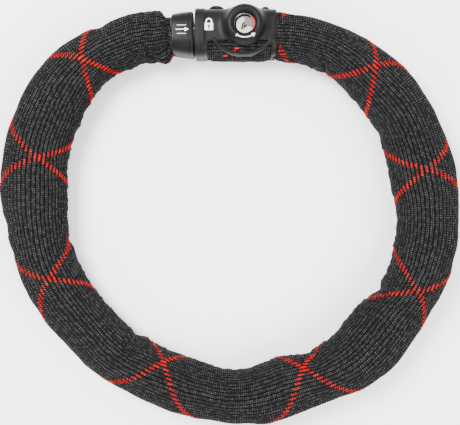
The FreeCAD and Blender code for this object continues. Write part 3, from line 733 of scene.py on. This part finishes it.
def make_yarns(cuts):
    """The two red yarns: where each passes over a rib it shows as a few short slanted stitches."""
    base, faces = capsule(DASH_LENGTH, DASH_RADIUS)
    dashes = place_dashes()
    rows = np.array([d[0] for d in dashes])
    phi = np.array([d[1] for d in dashes]) + drift(rows)
    d_row, d_phi = 0.3, 0.25 / 130
    p = section(rows, phi, YARN_LIFT)
    du = section(rows, phi + d_phi, YARN_LIFT) - section(rows, phi - d_phi, YARN_LIFT)
    dv = section(rows + d_row, phi, YARN_LIFT) - section(rows - d_row, phi, YARN_LIFT)
    du /= np.linalg.norm(du, axis=1)[:, None]
    dv /= np.linalg.norm(dv, axis=1)[:, None]
    n = np.cross(du, dv)
    middle = np.stack([np.interp(rows, index, line) for line in centre_3d.T], 1)
    n *= np.sign((n * (p - middle)).sum(1))[:, None]
    bowed = base[:, 2] - DASH_BOW * (base[:, 0] / DASH_LENGTH * 2) ** 2 * RIB_DEPTH * 4
    for k, (i, j) in enumerate(zip(cuts, cuts[1:])):
        points, polys = [], []
        for q in np.nonzero((rows >= i) & (rows < j))[0]:
            hand, extra = dashes[q][2:]
            slant = (DASH_SLANT + extra) * hand
            direction = du[q] * math.cos(slant) + dv[q] * math.sin(slant)
            direction -= n[q] * (direction @ n[q])
            direction /= np.linalg.norm(direction)
            other = np.cross(n[q], direction)
            offset = len(points) * len(base)
            points.append(p[q] + base[:, :1] * direction + base[:, 1:2] * other + bowed[:, None] * n[q])
            polys += [tuple(c + offset for c in f) for f in faces]
        if not points:
            continue
        points = np.concatenate(points)
        points[:, 2] = np.maximum(points[:, 2], YARN_LOW)
        obj = small_mesh(f"red_yarn_{k:02d}", points, polys)
        obj.data.materials.append(RED_YARN)
        attach(obj)


make_yarns(make_sleeve())


# ---- moulded shapes
# A moulded part is a field of distances over (u, v, z) in mm, in the lock's own frame:
# u along the lock, v towards its boss, z up. Soft blends of the fields give its fillets.
LOCK_U, LOCK_V = (lock_low[0] + lock_high[0]) / 2, LOCK_Y
CELL = 0.5  # size of the cells that the surfaces are found in
KEY_U, KEY_V = 5.5, 5.1
HOUSING_HALF = 29.7  # length
HOUSING_SHIFT = 0.6  # of its middle towards the boss
HOUSING_POWER = 3.7  # of its section: 2 is an ellipse, more is squarer
CORE_Z = 18.0  # middle of the housing and of the fabric inside it
PIN_Z = 20.0
PIN_BORE = 6.8
END_BLOCK = (-25.9, 3.8)  # middle and half length of the thicker block round the pin
SPLIT_Z = 9.0  # between the cover and the base
SPLIT_GAP = 0.12
TABLE_GAP = 0.12
BOSS_TOP = 42.0
BOSS_RADIUS = 12.9
RING_RADIUS = 8.6  # of the pocket that holds the coloured ring
KEY_BORE = 7.2
RIB_U, RIB_V, RIB_RADIUS = 4.2, 11.4, 26.9  # the curved rib across the window
STRUTS = (1.6, 10.1)  # the short ribs inside it
SIDE_WINDOWS = ((-20.3, -8.7), (17.7, 23.3))
NOTCH_U, NOTCH_V = -21.9, 18.1
SCREWS = ((-22.0, -9.0), (-22.0, 9.0), (18.0, -9.5), (18.0, 9.5))
POST_RADIUS, HEAD_RADIUS, SHANK_RADIUS = 4.2, 2.95, 1.65


def smooth_min(a, b, k):
    """The smaller of two fields, blended where they differ by less than k."""
    h = np.clip(0.5 + 0.5 * (b - a) / k, 0, 1)
    return b * (1 - h) + a * h - k * h * (1 - h)


def smooth_max(a, b, k):
    return -smooth_min(-a, -b, k)


def oval(v, z, half_v, half_z, power, middle=CORE_Z):
    """A soft rectangle across the lock."""
    q = (np.abs(v) / half_v) ** power + (np.abs(z - middle) / half_z) ** power
    return (np.maximum(q, 1e-9) ** (1 / power) - 1) * np.minimum(half_v, half_z)


def housing_oval(v, z, half_v, half_z, middle=CORE_Z):
    return oval(v - HOUSING_SHIFT, z, half_v, half_z, HOUSING_POWER, middle)


def window_plan(u, v):
    """The open area of the cover on the chain's side, seen from above."""
    key = np.hypot(u - KEY_U, v - KEY_V)
    rib = np.hypot(u - RIB_U, v - RIB_V)
    area = smooth_max(smooth_max(-(u + 20.6), u - 24.2, 2.0), v + 6.6, 3.0)
    area = smooth_max(area, 15.3 - key, 1.5)
    area = smooth_max(area, 1.5 - np.abs(rib - RIB_RADIUS), 1.4)
    for strut in STRUTS:
        area = smooth_max(area, -np.maximum(np.abs(u - strut) - 1.1, 27.2 - rib), 0.8)
    return area


def housing(u, v, z):
    """The cover and the base in one piece."""
    body = smooth_max(housing_oval(v, z, 17.1, 18.0), np.abs(u) - HOUSING_HALF, 4.0)
    block = housing_oval(v, z, 17.6, 18.3, 18.35)
    block = smooth_max(block, np.abs(u - END_BLOCK[0]) - END_BLOCK[1], 1.6)
    shape = smooth_min(body, block, 0.7)
    # soft shoulders that lead up to the boss
    key = np.hypot(u - KEY_U, v - KEY_V)
    flare = smooth_min((BOSS_TOP - z) * 0.16, 1.2 + 0.0 * z, 0.4)
    cone = smooth_max((key - BOSS_RADIUS - flare) * 0.98, z - BOSS_TOP, 3.8)
    cone = smooth_max(cone, 13.0 - z, 9.0)
    shape = smooth_min(shape, cone, 5.5)
    # hollow for the core, open at the chain's end
    hollow = smooth_max(oval(v - 0.4, z, 16.0, 16.4, 4.2), -(u + 27.9), 1.0)
    hollow = np.maximum(hollow, u - 34)
    shape = smooth_max(shape, -hollow, 0.5)
    # the boss's seat stays solid down to the core, and is bored for the key
    seat = smooth_max(key - 9.7, np.abs(z - 34.0) - 2.6, 0.5)
    shape = smooth_min(shape, seat, 0.6)
    shape = smooth_max(shape, -np.maximum(key - RING_RADIUS, np.abs(z - 33.0) - 1.9), 0.2)
    shape = smooth_max(shape, -np.maximum(key - KEY_BORE, 30.0 - z), 1.2)
    shape = smooth_max(shape, -(key - 7.4 - (z - 40.2) * 0.9) * 0.75, 1.2)
    pin = np.hypot(v, z - PIN_Z)
    shape = smooth_max(shape, -np.maximum(pin - PIN_BORE, u + 20), 0.8)
    # the rib across the window stands a little proud
    rib = np.abs(np.hypot(u - RIB_U, v - RIB_V) - RIB_RADIUS) - 1.1
    bead = np.maximum(rib, np.maximum(v + 5.0, np.abs(u) - 27.0))
    bead = smooth_max(bead, housing_oval(v, z, 17.6, 18.5), 1.0)
    shape = smooth_min(shape, bead, 0.8)
    plan = np.maximum(window_plan(u, v), 12.0 - z)
    shape = smooth_max(shape, -plan, 0.9)
    for low, high in SIDE_WINDOWS:
        across = np.abs(u - (low + high) / 2) - (high - low) / 2
        side = smooth_max(across, np.abs(z - 20) - 8.0, 3.0)
        shape = smooth_max(shape, -np.maximum(side, 13.6 - v), 0.9)
    # small notches behind the end block
    for sign in (1, -1):
        notch = np.hypot(u - NOTCH_U, v - HOUSING_SHIFT - sign * NOTCH_V) - 1.1
        shape = smooth_max(shape, -notch, 0.4)
    return smooth_max(shape, TABLE_GAP - z, 0.5)


def housing_cover_field(u, v, z):
    return smooth_max(housing(u, v, z), SPLIT_Z + SPLIT_GAP - z, 0.35)


def housing_base_field(u, v, z):
    """The base, with a post and a countersunk hole for each screw."""
    shape = smooth_max(housing(u, v, z), z - SPLIT_Z + SPLIT_GAP, 0.35)
    for screw_u, screw_v in SCREWS:
        away = np.hypot(u - screw_u, v - screw_v)
        post = np.maximum(away - POST_RADIUS, z - 4.0)
        shape = smooth_min(shape, smooth_max(post, TABLE_GAP - z, 0.3), 0.5)
        shape = smooth_max(shape, -np.maximum(away - HEAD_RADIUS, z - 1.75), 0.25)
        shape = smooth_max(shape, -(away - SHANK_RADIUS), 0.2)
    return shape


COLLAR_U = (-46.4, -30.4)
COLLAR_POWER = 3.3
COLLAR_BORE = 6.05
COLLAR_STEP_U = -33.4


def collar_field(u, v, z):
    """The collar round the pin's root: it widens towards the lock and is hollow on the sleeve's side."""
    t = (u - COLLAR_U[0]) / (COLLAR_U[1] - COLLAR_U[0])
    crown = 0.35 * np.sin(np.clip(t, 0, 1) * math.pi)
    half_v = 13.9 + 2.2 * t + crown
    half_z = 16.2 + 0.5 * t + crown * 0.5
    outside = oval(v, z, half_v, half_z, COLLAR_POWER, PIN_Z)
    ends = np.maximum(COLLAR_U[0] - u, u - COLLAR_U[1] + 0.6 * smooth_step(v / 32 + 0.5))
    shape = smooth_max(outside, ends, 1.4)
    hollow = oval(v, z, half_v - 1.5, half_z - 1.2, COLLAR_POWER, PIN_Z)
    shape = smooth_max(shape, -np.maximum(hollow, u + 35.8), 0.9)
    shape = smooth_max(shape, -(np.hypot(v, z - PIN_Z) - COLLAR_BORE), 0.5)
    # a fine step where the collar's end ring is pressed on
    ring = np.maximum(np.abs(u - COLLAR_STEP_U) - 0.16, -(outside + 0.28))
    return smooth_max(shape, -ring, 0.15)


def moulded(name, field, low, high):
    """A mesh of the surface where the field is zero, with a vertex in each cell that it crosses."""
    axes = [np.arange(a, b + CELL, CELL) for a, b in zip(low, high)]
    shape = [len(a) for a in axes]
    grid = np.stack(np.meshgrid(*axes, indexing="ij"), -1)
    value = field(grid[..., 0], grid[..., 1], grid[..., 2])
    inside = value < 0
    # each cell's vertex starts at the mean of the crossings on its edges
    total = np.zeros([n - 1 for n in shape] + [3])
    count = np.zeros([n - 1 for n in shape])
    crossing = []
    for axis in range(3):
        a = [slice(None)] * 3
        b = [slice(None)] * 3
        a[axis], b[axis] = slice(0, -1), slice(1, None)
        cross = inside[tuple(a)] != inside[tuple(b)]
        va, vb = value[tuple(a)], value[tuple(b)]
        t = np.where(cross, va / np.where(cross, va - vb, 1), 0)
        at = grid[tuple(a)] + t[..., None] * np.eye(3)[axis] * CELL
        crossing.append(cross)
        others = [k for k in range(3) if k != axis]
        for i in (0, 1):
            for j in (0, 1):
                pick = [slice(None)] * 3
                pick[others[0]] = slice(i, shape[others[0]] - 1 + i)
                pick[others[1]] = slice(j, shape[others[1]] - 1 + j)
                count += cross[tuple(pick)]
                total += at[tuple(pick)] * cross[tuple(pick)][..., None]
    used = count > 0
    number = np.cumsum(used.ravel()).reshape(used.shape) - 1
    points = total[used] / count[used][:, None]
    # each crossed edge gives a quad between the four cells round it
    quads = []
    for axis in range(3):
        others = [(axis + 1) % 3, (axis + 2) % 3]
        edge = np.argwhere(crossing[axis])
        ok = np.ones(len(edge), bool)
        for o in others:
            ok &= (edge[:, o] > 0) & (edge[:, o] < shape[o] - 1)
        edge = edge[ok]
        corner = []
        for i, j in ((-1, -1), (0, -1), (0, 0), (-1, 0)):
            cell = edge.copy()
            cell[:, others[0]] += i
            cell[:, others[1]] += j
            corner.append(number[tuple(cell.T)])
        quad = np.stack(corner, 1)
        leaving = inside[tuple(edge.T)]
        quads.append(np.where(leaving[:, None], quad, quad[:, ::-1]))
    # the vertices are drawn onto the surface, in short steps
    for _ in range(4):
        slope = gradient(field, points, 0.02)
        size = np.maximum((slope**2).sum(1), 0.04)
        push = -field(*points.T) / size
        points = points + np.clip(push, -0.2, 0.2)[:, None] * slope
    normals = gradient(field, points, 0.12)
    normals /= np.maximum(np.linalg.norm(normals, axis=1), 1e-9)[:, None]
    mesh = quad_mesh(name, points + np.array((LOCK_U, LOCK_V, 0)), np.concatenate(quads))
    mesh.shade_smooth()
    mesh.normals_split_custom_set_from_vertices(normals.tolist())
    return add_object(name, mesh)


def gradient(field, points, step):
    """Slope of a field at each point."""
    slope = np.zeros_like(points)
    for k in range(3):
        shift = np.zeros(3)
        shift[k] = step
        slope[:, k] = (field(*(points + shift).T) - field(*(points - shift).T)) / (2 * step)
    return slope


def make_housing():
    """The lock's cover and base, and the pin's collar."""
    span = ((-31, -20.5), (31, 20.5))
    cover = moulded("lock_cover", housing_cover_field, (*span[0], 8.0), (*span[1], 44.0))
    base = moulded("lock_base", housing_base_field, (*span[0], -1.0), (*span[1], 10.0))
    collar = moulded("pin_collar", collar_field, (-48.0, -18.5, 1.5), (-29.5, 18.5, 38.5))
    for obj, body, node, slot, material in (
        (cover, "lock", "housing_cover", "housing_plastic", HOUSING),
        (base, "lock", "housing_base", "housing_plastic", HOUSING),
        (collar, "pin_end", "bolt_collar", "collar_plastic", COLLAR),
    ):
        obj.data.materials.append(material)
        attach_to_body(obj, body)
        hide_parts(node)


# ---- fabric inside the lock
WRAP_RIBS = 44  # round the fabric in the lock
WRAP_HALF_V, WRAP_HALF_Z = 15.9, 15.5
WRAP_SPAN = (-26.5, 24.5)
WRAP_STEP = 0.5
WRAP_ROUNDNESS = 0.5
BOSS_HOLE = 9.9  # radius of the hole in it that the boss comes through
STITCH_LIFT = 0.35
STITCH_SIZE = (3.4, 0.7)  # length and radius
# place along the lock, turns round the section
WINDOW_STITCHES = ((-0.1, 0.338), (-2.05, 0.366), (-8.2, 0.442))


def wrap_point(u, phi, lift):
    """The fabric round the core: u along the lock, phi the angle round it in turns."""
    a = phi * TAU
    c, s = np.cos(a), np.sin(a)
    # it bulges out of the windows on both sides
    window = smooth_step((np.abs(u - 2) - 23) / -5.0)
    bulge = 1.7 * window * np.clip(-c, 0, 1) ** 2 * np.clip(1.2 - 3.2 * np.abs(s), 0, 1)
    side = np.exp(-(((u + 14.5) / 6.0) ** 4)) + 0.8 * np.exp(-(((u - 20.5) / 3.4) ** 4))
    bulge = bulge + 4.3 * side * np.clip(c, 0, 1) ** 2 * np.clip(1.2 - np.abs(s) * 1.2, 0, 1)
    soft = 0.25 * wave_noise(u / 5 + 60, phi * 9, 31, 9)
    grow = lift + bulge + soft
    v = WRAP_HALF_V * np.sign(c) * np.abs(c) ** WRAP_ROUNDNESS + c * grow
    z = CORE_Z + WRAP_HALF_Z * np.sign(s) * np.abs(s) ** WRAP_ROUNDNESS + s * grow
    return np.stack((u + LOCK_U, v + LOCK_V, z), -1)


def make_wrap():
    """The sleeve goes on over the lock's core and shows in the windows."""
    columns = WRAP_RIBS * POINTS_PER_RIB
    u = np.arange(*WRAP_SPAN, WRAP_STEP)
    turns = np.arange(columns)[None] / columns * np.ones((len(u), 1))
    # ribs of even width: angles at equal lengths round the section
    fine = np.linspace(0, 1, 1201)
    loop = wrap_point(np.zeros_like(fine), fine, 0)
    run = np.concatenate(([0], np.cumsum(np.linalg.norm(np.diff(loop, axis=0), axis=1))))
    even = np.interp(turns, run / run[-1], fine)
    uu = u[:, None] * np.ones((1, columns))
    points = wrap_point(uu, even + 0.004 * np.sin(uu / 9), rib_height(WRAP_RIBS, turns))
    normals = tube_normals(points)
    middle = np.array((0, LOCK_V, CORE_Z))
    if ((points - middle) * (0, 1, 1) * normals).sum(-1).mean() < 0:
        points, normals, turns = points[:, ::-1], -normals[:, ::-1], turns[:, ::-1]
    # a hole in the fabric lets the boss through
    key = np.hypot(points[..., 0] - LOCK_U - KEY_U, points[..., 1] - LOCK_V - KEY_V)
    keep = (key > BOSS_HOLE) | (points[..., 2] < CORE_Z)
    obj = tube_mesh("sleeve_in_lock", points, normals, (turns * WRAP_RIBS, uu / STITCH), keep)
    obj.data.materials.append(FABRIC)
    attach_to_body(obj, "lock")
    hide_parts("sleeve_lock_span")
    # the stitches of red yarn that show in the windows
    base, faces = capsule(*STITCH_SIZE)
    stitches, polys = [], []
    for at, turn in WINDOW_STITCHES:
        p = wrap_point(np.array(at), np.array(turn), STITCH_LIFT)
        along_rib = wrap_point(np.array(at + 0.5), np.array(turn - 0.0006), STITCH_LIFT) - p
        way = along_rib / np.linalg.norm(along_rib)
        up = p - np.array((p[0], LOCK_V, CORE_Z))
        up -= way * (up @ way)
        up /= np.linalg.norm(up)
        other = np.cross(up, way)
        offset = len(stitches) * len(base)
        stitches.append(p + base[:, :1] * way + base[:, 1:2] * other + base[:, 2:] * up)
        polys += [tuple(i + offset for i in f) for f in faces]
    yarn = small_mesh("red_yarn_in_lock", np.concatenate(stitches), polys)
    yarn.data.materials.append(RED_YARN)
    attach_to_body(yarn, "lock")


# ---- printed marks
INK_CELL = 0.11
INK_LIFT = 0.03
SHACKLE_RADIUS, SHACKLE_HALF = 1.85, 0.42
ARC_RADIUS = 10.6
ARC_TIP = -54  # degrees round the key's axis
CORNERS = ((0, 0), (1, 0), (1, 1), (0, 1))


def printed(name, field, plan, low, high, body):
    """Thin white ink on top of a moulded part, where the plan is negative."""
    us = np.arange(low[0], high[0], INK_CELL)
    vs = np.arange(low[1], high[1], INK_CELL)
    uu, vv = np.meshgrid(us, vs, indexing="ij")
    # the ink comes down from above until it meets the part
    top = np.full_like(uu, 48.0)
    for _ in range(90):
        top = top - np.clip(field(uu, vv, top) * 0.8, -0.2, 0.8)
    number = -np.ones(uu.shape, int)
    inked = plan(uu[:-1, :-1] + INK_CELL / 2, vv[:-1, :-1] + INK_CELL / 2) < 0
    points, faces = [], []
    for i, j in np.argwhere(inked):
        spots = [(i + a, j + b) for a, b in CORNERS]
        for at in spots:
            if number[at] < 0:
                number[at] = len(points)
                points.append((uu[at] + LOCK_U, vv[at] + LOCK_V, top[at] + INK_LIFT))
        faces.append(tuple(int(number[at]) for at in spots))
    obj = small_mesh(name, np.array(points), faces)
    obj.data.materials.append(WHITE_INK)
    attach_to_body(obj, body)


def padlock_plan(u, v):
    """A small padlock sign, upright along v."""
    x, y = u + 19.6, v - 4.6
    body = np.maximum(np.abs(x) - 3.0, np.abs(y + 1.6) - 2.5)
    hole = np.minimum(np.hypot(x, y + 1.1) - 0.85, np.maximum(np.abs(x) - 0.4, np.abs(y + 2.2) - 1.2))
    bow = np.abs(np.hypot(x, y - 2.2) - SHACKLE_RADIUS) - SHACKLE_HALF
    shackle = np.where(y > 2.2, bow, 9.0)
    legs = np.maximum(np.abs(np.abs(x) - SHACKLE_RADIUS) - SHACKLE_HALF, np.abs(y - 1.5) - 0.8)
    return np.minimum(np.minimum(np.maximum(body, -hole), shackle), legs)


def turn_plan(u, v):
    """An arc with an arrow head round the boss: which way the key turns."""
    x, y = u - KEY_U, v - KEY_V
    r = np.hypot(x, y)
    angle = np.degrees(np.arctan2(y, x))
    arc = np.maximum(np.abs(r - ARC_RADIUS) - 0.33, np.abs(angle + 92) - 30)
    tip = math.radians(ARC_TIP)
    tx, ty = x - ARC_RADIUS * math.cos(tip), y - ARC_RADIUS * math.sin(tip)
    ahead = -tx * math.sin(tip) + ty * math.cos(tip)
    aside = tx * math.cos(tip) + ty * math.sin(tip)
    head = np.maximum(-(ahead + 1.1), np.abs(aside) - (1.3 - ahead) * 0.62)
    tick = np.maximum(np.abs(r - ARC_RADIUS) - 0.95, np.abs(angle + 122) - 1.6)
    return np.minimum(np.minimum(arc, head), tick)


def arrow_plan(u, v):
    """A thin arrow on the collar that points to the lock."""
    x, y = u + 38.6, v - 1.0
    shaft = np.maximum(np.abs(x + 0.6) - 3.6, np.abs(y) - 0.3)
    head = np.maximum(-(x - 2.0), np.abs(y) - (5.0 - x) * 0.45)
    bars = np.maximum(np.abs(x + 0.2) - 3.2, np.abs(np.abs(y) - 3.0) - 0.16)
    return np.minimum(np.minimum(shaft, head), bars)


def make_marks():
    """Generic signs: a padlock, which way the key turns, and which way the pin goes in."""
    printed("mark_padlock", housing, padlock_plan, (-24, -1), (-15, 10.5), "lock")
    printed("mark_turn", housing, turn_plan, (KEY_U - 12, KEY_V - 13), (KEY_U + 12, KEY_V), "lock")
    printed("mark_collar", collar_field, arrow_plan, (-45, -3), (-32, 5), "pin_end")


make_housing()
make_wrap()
make_marks()


# ---- floor, light, camera
FLOOR_SIZE = 6.0
FLOOR_GREY = 0.93
SKY_STRENGTH = 2.2
LIGHT_TARGET = (0, 0, 0.02)
# name, place in metres, diameter, watts
LIGHTS = (("key", (-0.45, 0.35, 1.0), 0.5, 36.0), ("fill", (0.6, -0.5, 0.9), 0.8, 20.0))
CAMERA_Y = 0.0025
CAMERA_DISTANCE = 0.608
SENSOR_WIDTH = 36.0
VIEW_WIDTH = 0.3312  # what the camera sees at the chain's height, in metres


def area_light(name, location, size, power):
    light = bpy.data.lights.new(name, "AREA")
    light.shape = "DISK"
    light.size = size
    light.energy = power
    obj = add_object(name, light)
    obj.location = location
    direction = Vector(np.array(LIGHT_TARGET) - np.array(location))
    obj.rotation_euler = direction.to_track_quat("-Z", "Y").to_euler()


def make_stage():
    """A pale floor, even light with two soft lamps, and a camera straight above."""
    bpy.ops.mesh.primitive_plane_add(size=FLOOR_SIZE, location=(0, 0, 0))
    floor = bpy.context.object
    floor.name = "studio_floor"
    paper = Nodes("floor_paper")
    paper.set(color=rgb(FLOOR_GREY, FLOOR_GREY, FLOOR_GREY), rough=0.9, spec=0.1)
    floor.data.materials.append(paper.mat)
    world = bpy.data.worlds.new("studio")
    bpy.context.scene.world = world
    world.use_nodes = True
    sky = world.node_tree.nodes["Background"]
    sky.inputs[0].default_value = rgb(1, 1, 1)
    sky.inputs[1].default_value = SKY_STRENGTH
    for light in LIGHTS:
        area_light(*light)
    camera = bpy.data.cameras.new("camera")
    camera.sensor_width = SENSOR_WIDTH
    camera.lens = SENSOR_WIDTH * CAMERA_DISTANCE / VIEW_WIDTH
    camera.clip_start = 0.01
    obj = add_object("camera", camera)
    obj.location = (0.0, CAMERA_Y, CHAIN_Z * MM + CAMERA_DISTANCE)
    bpy.context.scene.camera = obj


make_stage()
